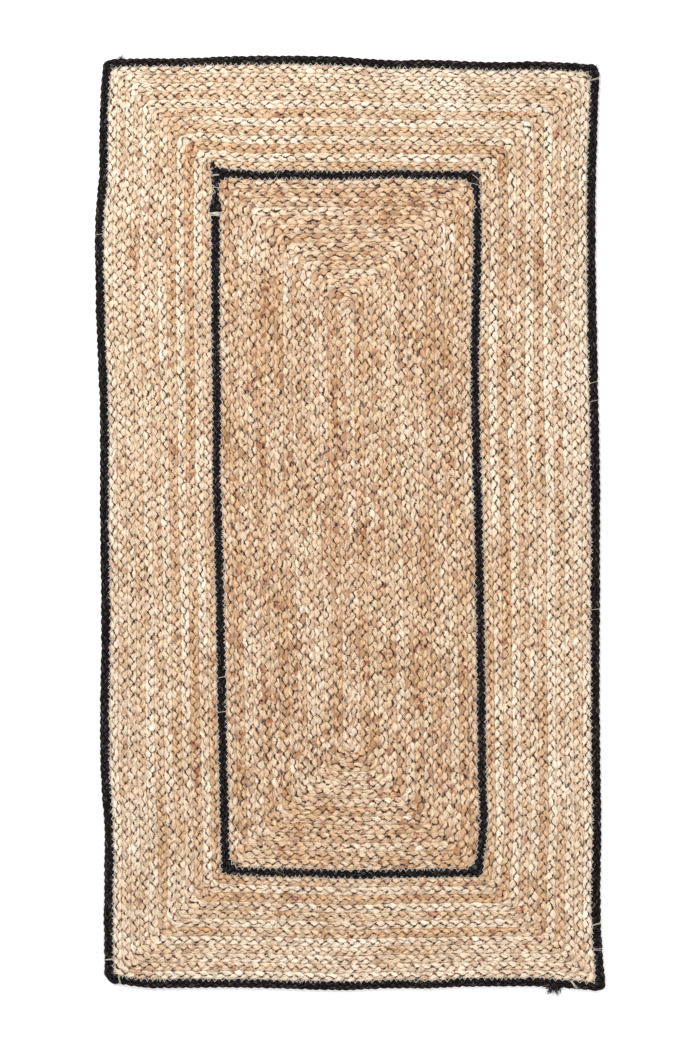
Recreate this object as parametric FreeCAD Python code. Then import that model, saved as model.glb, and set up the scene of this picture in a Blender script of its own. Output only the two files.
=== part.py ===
import FreeCAD, Part
import math
import os

# Braided jute rug, 80 x 150 cm, in millimetres.
# X runs across the rug, Y along its length and Z up. The origin is the middle of the underside.
# The rug is nested rounds of flat three-strand braid about a straight spine, sewn edge to edge.
# Each round is its own closed solid here: a rounded-rectangle ring with a flat underside.

# Driving dimensions
jute_pitch = 14.3  # width of rug that one round of jute braid fills
black_pitch = 14.1  # width of rug that one round of black braid fills
centre_rounds = 14  # jute rounds inside the inner frame
border_rounds = 12  # jute rounds between the inner frame and the outer edge
spine_length = 700.0  # straight run that the first round is folded about
braid_thickness = 9.0
braid_clearance = 0.15  # kept by each round on either side of its seam
top_rounding = 3.2  # radius of the braid's upper edges
bottom_rounding = 2.0  # radius of its lower edges, which lie flatter

# Corner radii of the lines between rounds
jute_turn_radius = 25.0
frame_turn_radius = 10.0  # outer side of the inner frame
edge_turn_radius = 14.0  # outer side of the whole rug

# Sewing threads
needle_half_width = 0.8  # zigzag thread on the face, as a plain band in the groove over the seam
needle_height = 0.8
bobbin_half_width = 0.6  # its partner on the underside
bobbin_height = 0.6
thread_clearance = 0.02

# Hand-sewn threads that cross the black braids, as straps on their upper face
strap_length = 8.0
strap_width = 1.6
strap_height = 0.6
frame_whipping_y = (544.0, 535.0, 494.0)  # round the lapped ends on the left run of the inner frame
frame_tack_y = (-249.0, -304.0)  # further down the same run
edge_left_tack_y = (455.0, -710.0)
edge_right_tack_y = (226.0, 196.0, -136.0, -640.0, -681.0)
edge_bottom_tack_x = (-376.0, 352.0)

# Derived dimensions
centre_offset = centre_rounds * jute_pitch
frame_offset = centre_offset + black_pitch
border_offset = frame_offset + border_rounds * jute_pitch
rug_offset = border_offset + black_pitch
spine_end = spine_length / 2


def rounded_rectangle(offset, radius, height):
    """Closed wire at a distance from the spine, with round corners, at a height."""
    half_x = offset
    half_y = spine_end + offset
    inner_x = half_x - radius
    inner_y = half_y - radius
    edges = []
    for quarter in range(4):
        turn = quarter * math.pi / 2
        side = 1 if quarter in (0, 3) else -1
        end = 1 if quarter in (0, 1) else -1
        centre = FreeCAD.Vector(side * inner_x, end * inner_y, height)
        points = []
        for step in (0.0, 0.5, 1.0):
            angle = turn + step * math.pi / 2
            points.append(centre + FreeCAD.Vector(radius * math.cos(angle), radius * math.sin(angle), 0))
        if edges:
            join_line(edges, edges[-1].lastVertex().Point, points[0])
        edges.append(Part.Arc(*points).toShape())
    join_line(edges, edges[-1].lastVertex().Point, edges[0].firstVertex().Point)
    return Part.Wire(edges)


def join_line(edges, start, end):
    """Adds the straight run between two corner arcs, where there is one."""
    if start.distanceToPoint(end) > 1e-6:
        edges.append(Part.makeLine(start, end))


def plate(offset, radius, low, high):
    """Solid rounded rectangle between two heights."""
    wire = rounded_rectangle(offset, radius, low)
    return Part.Face(wire).extrude(FreeCAD.Vector(0, 0, high - low))


def ring(inner_offset, inner_radius, outer_offset, outer_radius, low, high):
    """Closed ring between two rounded rectangles and two heights."""
    outside = plate(outer_offset, outer_radius, low, high)
    return outside.cut(plate(inner_offset, inner_radius, low, high))


def level_edges(shape, height):
    """Edges that lie wholly at one height."""
    found = []
    for edge in shape.Edges:
        box = edge.BoundBox
        if abs(box.ZMin - height) < 1e-4 and abs(box.ZMax - height) < 1e-4:
            found.append(edge)
    return found


def seam_radius(offset, largest):
    """Corner radius of the line between two rounds: a full half circle while that is the smaller."""
    return min(offset, largest)


def braid_round(inner_offset, inner_radius, outer_offset, outer_radius):
    """One round of braid: a ring with rounded upper and lower edges and a flat underside."""
    body = ring(
        inner_offset + braid_clearance,
        inner_radius + braid_clearance,
        outer_offset - braid_clearance,
        outer_radius - braid_clearance,
        0.0,
        braid_thickness,
    )
    body = body.makeFillet(top_rounding, level_edges(body, braid_thickness))
    return body.makeFillet(bottom_rounding, level_edges(body, 0.0))


def centre_braid(number):
    """Jute round of the centre panel, counted from the spine."""
    inner = (number - 1) * jute_pitch
    outer = number * jute_pitch
    return braid_round(
        inner,
        seam_radius(inner, jute_turn_radius),
        outer,
        seam_radius(outer, jute_turn_radius),
    )


def border_braid(number):
    """Jute round of the border, counted from the inner frame."""
    inner = frame_offset + (number - 1) * jute_pitch
    inner_radius = frame_turn_radius if number == 1 else jute_turn_radius
    return braid_round(inner, inner_radius, inner + jute_pitch, jute_turn_radius)


def inner_frame_braid():
    """Black round between the centre panel and the border."""
    return braid_round(centre_offset, jute_turn_radius, frame_offset, frame_turn_radius)


def edge_braid():
    """Black round at the outside of the rug."""
    return braid_round(border_offset, jute_turn_radius, rug_offset, edge_turn_radius)


def groove_depth(half_width, rounding):
    """Depth below a braid's face at which the groove over a seam is as narrow as a thread."""
    across = rounding - (half_width - braid_clearance)
    return rounding - math.sqrt(rounding**2 - across**2)


def seam_band(offset, radius, half_width, low, high):
    """Plain band that stands for one zigzag thread, along the line between two rounds."""
    if offset < half_width:
        return spine_band(half_width, low, high)
    return ring(offset - half_width, radius - half_width, offset + half_width, radius + half_width, low, high)


def spine_band(half_width, low, high):
    """The same band along the spine, where the first round's two runs are sewn together."""
    box = Part.makeBox(2 * half_width, spine_length, high - low)
    box.translate(FreeCAD.Vector(-half_width, -spine_end, low))
    return box


def needle_band(offset, radius):
    """Thread on the face: it rests on the shoulders of the two braids."""
    low = braid_thickness - groove_depth(needle_half_width, top_rounding) + thread_clearance
    return seam_band(offset, radius, needle_half_width, low, low + needle_height)


def bobbin_band(offset, radius):
    """Thread on the underside: it lies in the lower groove, clear of the floor."""
    high = groove_depth(bobbin_half_width, bottom_rounding) - thread_clearance
    return seam_band(offset, radius, bobbin_half_width, high - bobbin_height, high)


def centre_seams():
    """Lines between the rounds of the centre panel, from the spine outwards."""
    seams = []
    for number in range(centre_rounds):
        offset = number * jute_pitch
        seams.append((offset, seam_radius(offset, jute_turn_radius)))
    return seams


def border_seams():
    """Lines between the rounds of the border."""
    return [(frame_offset + number * jute_pitch, jute_turn_radius) for number in range(1, border_rounds)]


def strap_across(x, y, along_x):
    """Thread over the upper face of a black braid, long in X or in Y."""
    size_x = strap_length if along_x else strap_width
    size_y = strap_width if along_x else strap_length
    strap = Part.makeBox(size_x, size_y, strap_height)
    strap.translate(FreeCAD.Vector(x - size_x / 2, y - size_y / 2, braid_thickness))
    return strap


def frame_whipping_threads():
    """Threads round the inner frame's left run, at its lapped ends and below."""
    x = -(centre_offset + black_pitch / 2)
    return Part.makeCompound([strap_across(x, y, True) for y in frame_whipping_y + frame_tack_y])


def edge_tacking_threads():
    """Threads round the outer edge on the left, on the right and at the bottom."""
    x = border_offset + black_pitch / 2
    straps = [strap_across(-x, y, True) for y in edge_left_tack_y]
    straps += [strap_across(x, y, True) for y in edge_right_tack_y]
    straps += [strap_across(at, -(spine_end + x), False) for at in edge_bottom_tack_x]
    return Part.makeCompound(straps)


def save(shape, name):
    """Writes one node's STEP file and prints its solids, volume and validity."""
    shape.exportStep(f"parts/{name}.step")
    print(f"{name}: {len(shape.Solids)} solids, {shape.Volume / 1000:.2f} cm3, valid {shape.isValid()}")


def main():
    os.makedirs("parts", exist_ok=True)
    for number in range(1, centre_rounds + 1):
        save(centre_braid(number), f"centre_braid_{number:02d}")
    save(inner_frame_braid(), "inner_frame_braid")
    for number in range(1, border_rounds + 1):
        save(border_braid(number), f"border_braid_{number:02d}")
    save(edge_braid(), "edge_braid")

    seam_groups = {
        "centre_seam": centre_seams(),
        "frame_inner_seam": [(centre_offset, jute_turn_radius)],
        "frame_outer_seam": [(frame_offset, frame_turn_radius)],
        "border_seam": border_seams(),
        "edge_seam": [(border_offset, jute_turn_radius)],
    }
    for name, seams in seam_groups.items():
        save(Part.makeCompound([needle_band(*seam) for seam in seams]), f"{name}_needle_thread")
        save(Part.makeCompound([bobbin_band(*seam) for seam in seams]), f"{name}_bobbin_thread")

    save(frame_whipping_threads(), "frame_whipping_threads")
    save(edge_tacking_threads(), "edge_tacking_threads")


main()
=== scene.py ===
"""Braided jute rug: plaited strands in nested rounds, zigzag seams, hand sewing and stray fibres."""

import math

import bpy
import numpy as np
from bpy.props import FloatProperty, FloatVectorProperty, IntProperty, PointerProperty
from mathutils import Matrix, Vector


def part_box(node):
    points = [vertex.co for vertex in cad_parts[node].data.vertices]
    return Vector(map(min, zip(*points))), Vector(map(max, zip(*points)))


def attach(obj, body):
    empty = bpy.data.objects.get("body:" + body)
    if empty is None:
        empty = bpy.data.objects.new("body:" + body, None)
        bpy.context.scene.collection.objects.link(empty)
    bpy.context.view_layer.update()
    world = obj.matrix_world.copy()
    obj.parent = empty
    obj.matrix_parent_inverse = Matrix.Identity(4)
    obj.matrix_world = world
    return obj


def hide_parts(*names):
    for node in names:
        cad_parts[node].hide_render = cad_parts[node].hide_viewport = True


bl_info = {
    "name": "Braided Jute Rug",
    "version": (1, 0, 0),
    "blender": (4, 5, 0),
    "location": "3D View > Sidebar > Rug",
    "description": "Makes a rug of sewn jute braid around its packed frame",
    "category": "Object",
}

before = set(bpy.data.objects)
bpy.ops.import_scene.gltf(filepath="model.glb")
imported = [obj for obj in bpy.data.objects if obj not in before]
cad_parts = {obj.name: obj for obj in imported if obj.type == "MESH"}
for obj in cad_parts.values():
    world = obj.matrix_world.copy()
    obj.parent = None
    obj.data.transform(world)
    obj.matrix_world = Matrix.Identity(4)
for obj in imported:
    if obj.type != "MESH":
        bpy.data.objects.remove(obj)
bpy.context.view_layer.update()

MM = 0.001
CENTRE_NODES = sorted(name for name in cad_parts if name.startswith("centre_braid_"))
BORDER_NODES = sorted(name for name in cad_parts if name.startswith("border_braid_"))


# ---------------------------------------------------------------- sizes read from the frame


def outer_x(node):
    """Distance from the rug's middle line to a round's outer side."""
    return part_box(node)[1].x


JUTE_PITCH = outer_x(CENTRE_NODES[1]) - outer_x(CENTRE_NODES[0])
CLEARANCE = JUTE_PITCH - outer_x(CENTRE_NODES[0])
SPINE_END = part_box(CENTRE_NODES[0])[1].y - outer_x(CENTRE_NODES[0])
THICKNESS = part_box(CENTRE_NODES[0])[1].z
CENTRE_OFFSET = outer_x(CENTRE_NODES[-1]) + CLEARANCE
FRAME_OFFSET = outer_x("inner_frame_braid") + CLEARANCE
BORDER_OFFSET = outer_x(BORDER_NODES[-1]) + CLEARANCE
RUG_OFFSET = outer_x("edge_braid") + CLEARANCE
FRAME_MIDDLE = (CENTRE_OFFSET + FRAME_OFFSET) / 2
EDGE_MIDDLE = (BORDER_OFFSET + RUG_OFFSET) / 2
FRAME_SEAM = len(CENTRE_NODES)  # seam number between the centre panel and the inner frame
EDGE_SEAM = FRAME_SEAM + 1 + len(BORDER_NODES)  # seam number between the border and the outer edge


def seam_offset(number):
    """Distance from the spine of the line between two rounds; seam 0 is the spine itself."""
    if number <= FRAME_SEAM:
        return number * JUTE_PITCH
    if number <= EDGE_SEAM:
        return FRAME_OFFSET + (number - FRAME_SEAM - 1) * JUTE_PITCH
    return RUG_OFFSET


# ---------------------------------------------------------------- settings


def length_setting(name, description, default, least, most):
    """A length that the panel shows."""
    return FloatProperty(
        name=name, description=description, default=default, min=least, max=most, unit="LENGTH")


def colour_setting(name, description, default):
    """A colour that the panel shows."""
    return FloatVectorProperty(
        name=name, description=description, default=default, min=0, max=1, subtype="COLOR", size=3)


def power_setting(name, description, default):
    """A lamp's power in watts that the panel shows."""
    return FloatProperty(name=name, description=description, default=default, min=0, unit="POWER")


class RugShape(bpy.types.PropertyGroup):
    """Sizes of the braid, its corners and its threads."""

    jute_turn: length_setting(
        "Jute turn radius", "Corner radius of the lines between jute rounds", 19 * MM, 5 * MM, 60 * MM)
    frame_turn: length_setting(
        "Frame turn radius", "Corner radius of the inner frame's outer side", 10 * MM, 2 * MM, 40 * MM)
    border_turn: length_setting(
        "Border turn radius", "Corner radius of the border's outer side", 9 * MM, 2 * MM, 60 * MM)
    edge_turn: length_setting(
        "Edge turn radius", "Corner radius of the rug's outline", 14 * MM, 2 * MM, 60 * MM)
    lobe_pitch: length_setting(
        "Lobe pitch", "Length of braid from one lobe to the next on the same side",
        16.2 * MM, 8 * MM, 30 * MM)
    ring_steps: IntProperty(
        name="Steps per plait", description="Cross sections of a strand in one full plait of three lobes",
        default=18, min=8, max=48)
    stitch_pitch: length_setting(
        "Stitch pitch", "Length of one full zigzag of a seam", 8.6 * MM, 3 * MM, 20 * MM)
    seed: IntProperty(name="Seed", description="Start of the rug's random draws", default=7, min=0)


class RugColours(bpy.types.PropertyGroup):
    """Colours of the fibre and thread."""

    pale: colour_setting("Pale jute", "Lightest strands", (0.84, 0.695, 0.53))
    golden: colour_setting("Golden jute", "Darker, warmer strands", (0.62, 0.385, 0.205))
    brown: colour_setting("Brown jute", "Patches of stem and root fibre", (0.38, 0.165, 0.070))
    black: colour_setting("Black jute", "Dyed braid", (0.008, 0.007, 0.007))
    cream: colour_setting("Cream thread", "Sewing thread on the black braids", (0.93, 0.88, 0.79))
    seam: colour_setting("Seam thread", "Sewing thread between the jute rounds", (0.58, 0.43, 0.26))


class RugStage(bpy.types.PropertyGroup):
    """Camera, floor and light."""

    camera_height: length_setting("Camera height", "Height of the camera over the floor", 5.0, 1, 20)
    view_length: length_setting(
        "View length", "Length of floor seen from the top to the bottom of the view", 1.681, 0.5, 5)
    floor_size: length_setting("Floor size", "Width of the square floor", 16.0, 2, 50)
    room_light: FloatProperty(
        name="Room light", description="Strength of the even white light from all round",
        default=0.52, min=0, max=5)
    key_power: power_setting("Key light", "Power of the light at the upper left", 86)
    fill_power: power_setting("Fill light", "Power of the light at the lower right", 47)
    floor_glow: FloatProperty(
        name="Floor glow", description="Strength of the floor's own light round the rug",
        default=0.20, min=0, max=2)


# ---------------------------------------------------------------- materials


class Value:
    """A node socket that takes part in plain arithmetic: every operator adds one Math node."""

    def __init__(self, tree, socket):
        self.tree = tree
        self.socket = socket

    def maths(self, operation, *others):
        """One Math node with this value first."""
        inputs = {i + 1: other for i, other in enumerate(others)}
        inputs[0] = self
        return self.tree.node("ShaderNodeMath", {"operation": operation}, inputs)

    def __add__(self, other):
        return self.maths("ADD", other)

    def __sub__(self, other):
        return self.maths("SUBTRACT", other)

    def __mul__(self, other):
        return self.maths("MULTIPLY", other)

    __radd__ = __add__
    __rmul__ = __mul__

    def __rsub__(self, other):
        return self.tree.node("ShaderNodeMath", {"operation": "SUBTRACT"}, {0: other, 1: self})

    def clamped(self):
        """The value kept from 0 to 1."""
        return self.tree.node("ShaderNodeClamp", {}, {0: self})

    def between(self, low, high):
        """0 below low, 1 above high and smooth between."""
        return self.tree.node(
            "ShaderNodeMapRange", {"interpolation_type": "SMOOTHSTEP"},
            {"Value": self, "From Min": low, "From Max": high})


class Tree:
    """A material's node tree."""

    def __init__(self, name):
        self.material = bpy.data.materials.new(name)
        self.material.use_nodes = True
        self.nodes = self.material.node_tree.nodes
        self.links = self.material.node_tree.links
        self.nodes.clear()

    def node(self, kind, settings, inputs, output=0):
        """Adds a node, sets its settings, fills its sockets and returns one output, if any, as a Value."""
        made = self.nodes.new(kind)
        for name, value in settings.items():
            setattr(made, name, value)
        for key, value in inputs.items():
            if isinstance(value, Value):
                self.links.new(value.socket, made.inputs[key])
            else:
                made.inputs[key].default_value = value
        return None if output is None else Value(self, made.outputs[output])

    def split(self, kind, joined):
        """The three numbers of a colour or of a vector."""
        first = self.node(kind, {}, {0: joined})
        return [Value(self, output) for output in first.socket.node.outputs[:3]]

    def mix(self, factor, first, second, blend="MIX"):
        """Colour mix: first where factor is 0, second where it is 1."""
        return self.node(
            "ShaderNodeMix", {"data_type": "RGBA", "blend_type": blend},
            {0: factor, 6: colour(first), 7: colour(second)}, 2)

    def warm_shade(self, value):
        """A shade that browns as it darkens: the value, with green and blue raised to higher powers."""
        red = value.maths("MAXIMUM", 0.02)
        green, blue = [red.maths("POWER", power) for power in (1.15, 1.35)]
        return self.node("ShaderNodeCombineColor", {}, {0: red, 1: green, 2: blue})

    def finish(self, base, roughness, height, depth, **constants):
        """Principled surface with a bump from a height."""
        bump = self.node("ShaderNodeBump", {}, {"Height": height, "Distance": depth, "Strength": 1.0})
        inputs = {"Base Color": base, "Roughness": roughness, "Normal": bump}
        inputs.update({name.replace("_", " "): value for name, value in constants.items()})
        surface = self.node("ShaderNodeBsdfPrincipled", {}, inputs)
        self.node("ShaderNodeOutputMaterial", {}, {"Surface": surface}, None)
        return self.material


def colour(value):
    """A linked colour as it is, and a plain one with its alpha."""
    return value if isinstance(value, Value) else (*value, 1.0)


def strand_uv(tree, along, across):
    """The piece's own strand coordinates, scaled along the strand and round it."""
    uv = tree.node("ShaderNodeUVMap", {"uv_map": "strand"}, {})
    return tree.node(
        "ShaderNodeVectorMath", {"operation": "MULTIPLY"}, {0: uv, 1: (along, across, 1.0)})


def noise(tree, vector, scale, detail, roughness):
    """Cloudy noise from 0 to 1, with scale clouds to a unit of the vector."""
    return tree.node(
        "ShaderNodeTexNoise", {"noise_dimensions": "3D"},
        {"Vector": vector, "Scale": scale, "Detail": detail, "Roughness": roughness})


def tone(tree):
    """The three painted tones of a braid: warmth, brown patches and how deep a spot lies, which sets its
    painted shade.
    """
    painted = tree.node(
        "ShaderNodeAttribute", {"attribute_type": "GEOMETRY", "attribute_name": "tone"}, {})
    return tree.split("ShaderNodeSeparateColor", painted)


def object_place(tree):
    """Where a spot lies on the rug, in metres."""
    return tree.node("ShaderNodeTexCoord", {}, {}, 3)


RUST = (0.36, 0.135, 0.055)  # small spots of root fibre
PAINTED_GLINT = (0.96, 0.88, 0.76)  # painted highlight: near-white glints on the fibre ridges
CREASE_SHADE = (0.36, 0.20, 0.10)  # painted shade in the creases: what is left of each colour
PIT = (0.012, 0.004, 0.001)  # painted shadow in the pits between crossing strands
GREY_FIBRE_AND_GLINT = (0.165, 0.135, 0.135)  # undyed hairs of the black braids, and painted highlight on the fibre ridges
THIN_DYE = (0.022, 0.015, 0.014)  # rusty black
BLACK_PIT = (0.002, 0.002, 0.002)  # painted shadow in the pits between black strands
CREAM_SHADE = (0.60, 0.53, 0.43)  # painted shade between the plies of the cream thread
SEAM_SHADE = (0.30, 0.20, 0.11)  # painted shade between the plies of the seam thread
FLOOR_WHITES = ((0.93, 0.93, 0.93), (0.95, 0.95, 0.95))
PLY_DEPTH = 0.25 * MM  # height of a thread's plies in its bump
GRAIN_DEPTH = 0.02 * MM  # height of the floor's mottling in its bump
FIBRE_DEPTH = 1.1 * MM  # height of the fibre lines in the braid's bump
GLOW_INSET = 28 * MM  # how far inside the rug's outline the floor's glow begins
GLOW_OUTSET = 5 * MM  # how far inside it the glow is full


def jute_material(name, colours):
    """Natural jute: warmth and brown patches by strand, fibre streaks with painted shade and highlight, and
    painted shade in the creases between strands.
    """
    tree = Tree(name)
    warmth, patches, depth = tone(tree)
    place = object_place(tree)
    cloud = noise(tree, place, 11.0, 3.0, 0.6)  # hand-wide changes of tone
    coarse = noise(tree, strand_uv(tree, 0.50, 8.0), 1.0, 3.0, 0.70)
    fine = noise(tree, strand_uv(tree, 1.5, 19.0), 1.0, 2.0, 0.6)
    warm = (warmth + (coarse - 0.5) * 0.9 + (cloud - 0.5) * 1.1).clamped()
    base = tree.mix(warm, colours.pale, colours.golden)
    base = tree.mix((patches * (coarse * 2.4 - 0.45)).clamped() * 0.85, base, colours.brown)
    specks = noise(tree, place, 62.0, 2.0, 0.5).between(0.61, 0.67) * (warmth * 1.1 + 0.1).clamped()
    base = tree.mix(specks * 0.8, base, RUST)
    # painted highlight on the ridges of the fibre streaks
    base = tree.mix((coarse + (fine - 0.5) * 0.4).between(0.58, 0.80) * 0.44, base, PAINTED_GLINT)
    # fibre streaks: partly the fibres' own tone, partly painted shade in their grooves and painted highlight
    # on their ridges
    streak = (coarse - 0.5) * 2.8 + (fine - 0.5) * 1.4 + (0.5 - cloud) * 0.15 + 1.02
    base = tree.mix(1.0, base, tree.warm_shade(streak), "MULTIPLY")
    shade_strength = noise(tree, place, 105.0, 2.0, 0.6).between(0.36, 0.60)  # the painted crease shade is stronger here and there
    depth = depth * (shade_strength * 0.72 + 0.50)
    # painted shade in the creases between strands, and painted shadow in the deepest pits
    shaded = tree.mix(1.0, base, CREASE_SHADE, "MULTIPLY")
    base = tree.mix(depth.between(0.03, 0.70) * 0.96, base, shaded)
    base = tree.mix(depth.between(0.44, 0.84) * 0.99, base, PIT)
    return tree.finish(
        base, 0.60 + fine * 0.25, coarse * 0.6 + fine * 0.4, FIBRE_DEPTH,
        Sheen_Weight=0.15, Sheen_Roughness=0.5, Specular_IOR_Level=0.40)


def black_material(name, colours):
    """Dyed jute: charcoal with greyer fibres that stand up, partly painted highlight, a rusty cast where the
    dye is thin, and painted shadow in the creases between strands.
    """
    tree = Tree(name)
    warmth, _, depth = tone(tree)
    coarse = noise(tree, strand_uv(tree, 0.7, 6.0), 1.0, 3.0, 0.65)
    fine = noise(tree, strand_uv(tree, 1.8, 30.0), 1.0, 2.0, 0.6)
    base = tree.mix(warmth, colours.black, THIN_DYE)
    # grey fibres, partly painted highlight on the fibre ridges
    base = tree.mix((coarse + (fine - 0.5) * 0.6).between(0.50, 0.78), base, GREY_FIBRE_AND_GLINT)
    # painted shadow in the creases and pits between strands
    base = tree.mix(depth.between(0.0, 0.7) * 0.92, base, BLACK_PIT)
    return tree.finish(
        base, 0.72 + fine * 0.2, coarse * 0.6 + fine * 0.5, FIBRE_DEPTH,
        Sheen_Weight=0.01, Specular_IOR_Level=0.04)


def thread_material(name, pale, dark):
    """Twisted sewing thread: slanting plies, pale with painted shade in the grooves between them, and fine
    fuzz.
    """
    tree = Tree(name)
    along, round_it, _ = tree.split("ShaderNodeSeparateXYZ", strand_uv(tree, 1.0, 1.0))
    twist = (along * 9.0 + round_it * 2.0).maths("FRACT")
    ply = (twist - 0.5).maths("ABSOLUTE") * 2.0
    fuzz = noise(tree, strand_uv(tree, 6.0, 6.0), 1.0, 2.0, 0.6)
    # painted shade between the plies, where their bump is low
    base = tree.mix((ply * 0.8 + fuzz * 0.4).between(0.25, 1.05), pale, dark)
    return tree.finish(
        base, 0.55 + fuzz * 0.3, 1.0 - ply, PLY_DEPTH, Sheen_Weight=0.2, Specular_IOR_Level=0.4)


def cream_material(name, colours):
    """The cotton that binds and holds the black braids."""
    return thread_material(name, colours.cream, CREAM_SHADE)


def seam_material(name, colours):
    """The jute-coloured cotton of the seams."""
    return thread_material(name, colours.seam, SEAM_SHADE)


def floor_material(glow_strength):
    """Matte studio white with the faintest mottling, which glows a little except under the rug."""
    tree = Tree("studio_floor")
    place = object_place(tree)
    grain = noise(tree, place, 3.0, 3.0, 0.5)
    base = tree.mix(grain, *FLOOR_WHITES)
    x, y, _ = tree.split("ShaderNodeSeparateXYZ", place)
    half_x, half_y = RUG_OFFSET, RUG_OFFSET + SPINE_END
    beside = x.maths("ABSOLUTE").between(half_x - GLOW_INSET, half_x - GLOW_OUTSET)
    beyond = y.maths("ABSOLUTE").between(half_y - GLOW_INSET, half_y - GLOW_OUTSET)
    glow = tree.mix((beside + beyond).clamped(), (0.0, 0.0, 0.0), (1.0, 1.0, 1.0))
    return tree.finish(
        base, 0.9 + grain * 0.05, grain, GRAIN_DEPTH, Specular_IOR_Level=0.1,
        Emission_Color=glow, Emission_Strength=glow_strength)


# The name and the maker of each slot's material.
SLOT_MATERIALS = {
    "natural_jute": ("jute_fibre", jute_material),
    "black_jute": ("dyed_fibre", black_material),
    "cream_thread": ("cream_cotton", cream_material),
    "seam_thread": ("plain_cotton", seam_material),
}


def slot_material(slot):
    """The material of a slot, made the first time it is asked for."""
    _, colours, _ = settings()
    name, make = SLOT_MATERIALS[slot]
    return bpy.data.materials.get(name) or make(name, colours)


# ---------------------------------------------------------------- lines of the rug


def closed_noise(rng, knots, samples):
    """Smooth noise round a closed loop: random knots from -1 to 1, joined by cosine easing."""
    values = rng.uniform(-1, 1, knots)
    place = np.arange(samples) * (knots / samples)
    low = place.astype(int)
    ease = (1 - np.cos((place - low) * math.pi)) / 2
    return values[low % knots] * (1 - ease) + values[(low + 1) % knots] * ease


def smooth_line(points, at):
    """A smooth curve through a few given points, and level beyond the first and the last.

    It is a cubic from each point to the next, with the slope at a point taken from its neighbours."""
    places, values = np.array(points, float).T
    at = np.clip(at, places[0], places[-1])
    low = np.clip(np.searchsorted(places, at, side="right") - 1, 0, len(places) - 2)
    span = places[low + 1] - places[low]
    share = (at - places[low]) / span
    slopes = np.gradient(values, places)
    h00 = 2 * share**3 - 3 * share**2 + 1
    h10 = share**3 - 2 * share**2 + share
    return (
        h00 * values[low]
        + h10 * span * slopes[low]
        + (1 - h00) * values[low + 1]
        + (share**3 - share**2) * span * slopes[low + 1]
    )


# How far the sewn rug strays from a true rectangle, in millimetres: (place along the line, shift).
LEFT_EDGE = ((-750, 7.5), (-650, 6), (-475, 6), (-411, 1.5), (-315, 0), (-187, 2), (0, 0), (197, -1),
             (309, -6), (357, -7), (494, -7), (550, -1.8), (620, -1.3), (710, 2), (750, 6))
RIGHT_EDGE = ((-750, 9.5), (-650, 1.5), (-475, 1.5), (-331, -0.5), (-120, -0.8), (60, -0.5), (197, -3),
              (357, -6.5), (550, -7), (650, -4), (750, -1))
LEFT_FRAME = ((-557, 8), (-460, 6), (-283, 2), (-59, -2.5), (85, -6.5), (149, -6), (357, -8),
              (480, -8), (557, -9))
RIGHT_FRAME = ((-557, -2.5), (-475, 6), (-430, 4.5), (-283, 2.5), (-27, -1.5), (101, -5), (245, -8),
               (357, -6), (461, -3.5), (557, -5))
TOP_EDGE = ((-400, -8), (-320, -6), (-264, -6), (-208, -3.6), (-110, -2), (0, -4), (72, -9.5),
            (128, -8.5), (184, -10.5), (240, -12.5), (296, -11), (352, -13.5), (400, -17))
BOTTOM_EDGE = ((-400, 17), (-336, 7), (-264, 7), (-176, 7), (0, 3.5), (72, 6.3), (128, 5.7),
               (184, 8.6), (240, 9), (296, 9), (352, 5), (400, 0))
TOP_FRAME = ((-207, 7), (-190, 3), (-144, -1), (-88, -0.3), (0, -1), (80, 0.9), (136, -0.9), (207, 0))
BOTTOM_FRAME = ((-207, 1.5), (-128, -1), (-72, -2), (0, -4.5), (100, -2.5), (207, -2))


def in_millimetres(points):
    """The x and the y of points, in millimetres."""
    return points[..., 0] / MM, points[..., 1] / MM


def drift(points):
    """Moves points from the true rectangle to the sewn rug's gently wandering one.

    Sideways shift: between the two long edges and the two long runs of the frame it is linear in x, and
    each of the four is a smooth line in y. The shift along the rug is the same with x and y exchanged."""
    x, y = in_millimetres(points)
    moved = points.copy()
    frame_x, edge_x, spine = FRAME_MIDDLE / MM, RUG_OFFSET / MM, SPINE_END / MM
    moved[..., 0] += MM * between_lines(
        x, y, (-edge_x, -frame_x, frame_x, edge_x), (LEFT_EDGE, LEFT_FRAME, RIGHT_FRAME, RIGHT_EDGE))
    moved[..., 1] += MM * between_lines(
        y, x, (-edge_x - spine, -frame_x - spine, frame_x + spine, edge_x + spine),
        (BOTTOM_EDGE, BOTTOM_FRAME, TOP_FRAME, TOP_EDGE))
    return moved


def between_lines(across, along, places, lines):
    """Blends four shift lines linearly by where a point lies between them."""
    shifts = np.stack([smooth_line(line, along) for line in lines])
    result = np.zeros_like(across)
    for i in range(len(places) - 1):
        share = np.clip((across - places[i]) / (places[i + 1] - places[i]), 0, 1)
        result += (shifts[i + 1] - shifts[i]) * share
    return shifts[0] + result


# How far the black braids bulge over their jute neighbours: outward shift of each seam, in millimetres.
BLACK_SPREAD = {FRAME_SEAM: -0.7, FRAME_SEAM + 1: 0.8, EDGE_SEAM: -1.4}
JUTE_WAVINESS = 0.75  # share of the waves that seams between jute rounds have
CORNER_ROOM = 1.45  # most room a strand takes at a corner, in half widths of its round
EDGE_INSET = 1.2  # how far the outer edge's strands stay inside the outline, in millimetres

# Slow waves of every seam: (wave length, share of a millimetre).
SEAM_WAVES = ((230, 0.4), (97, 0.45), (51, 0.45), (29, 0.3))

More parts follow.
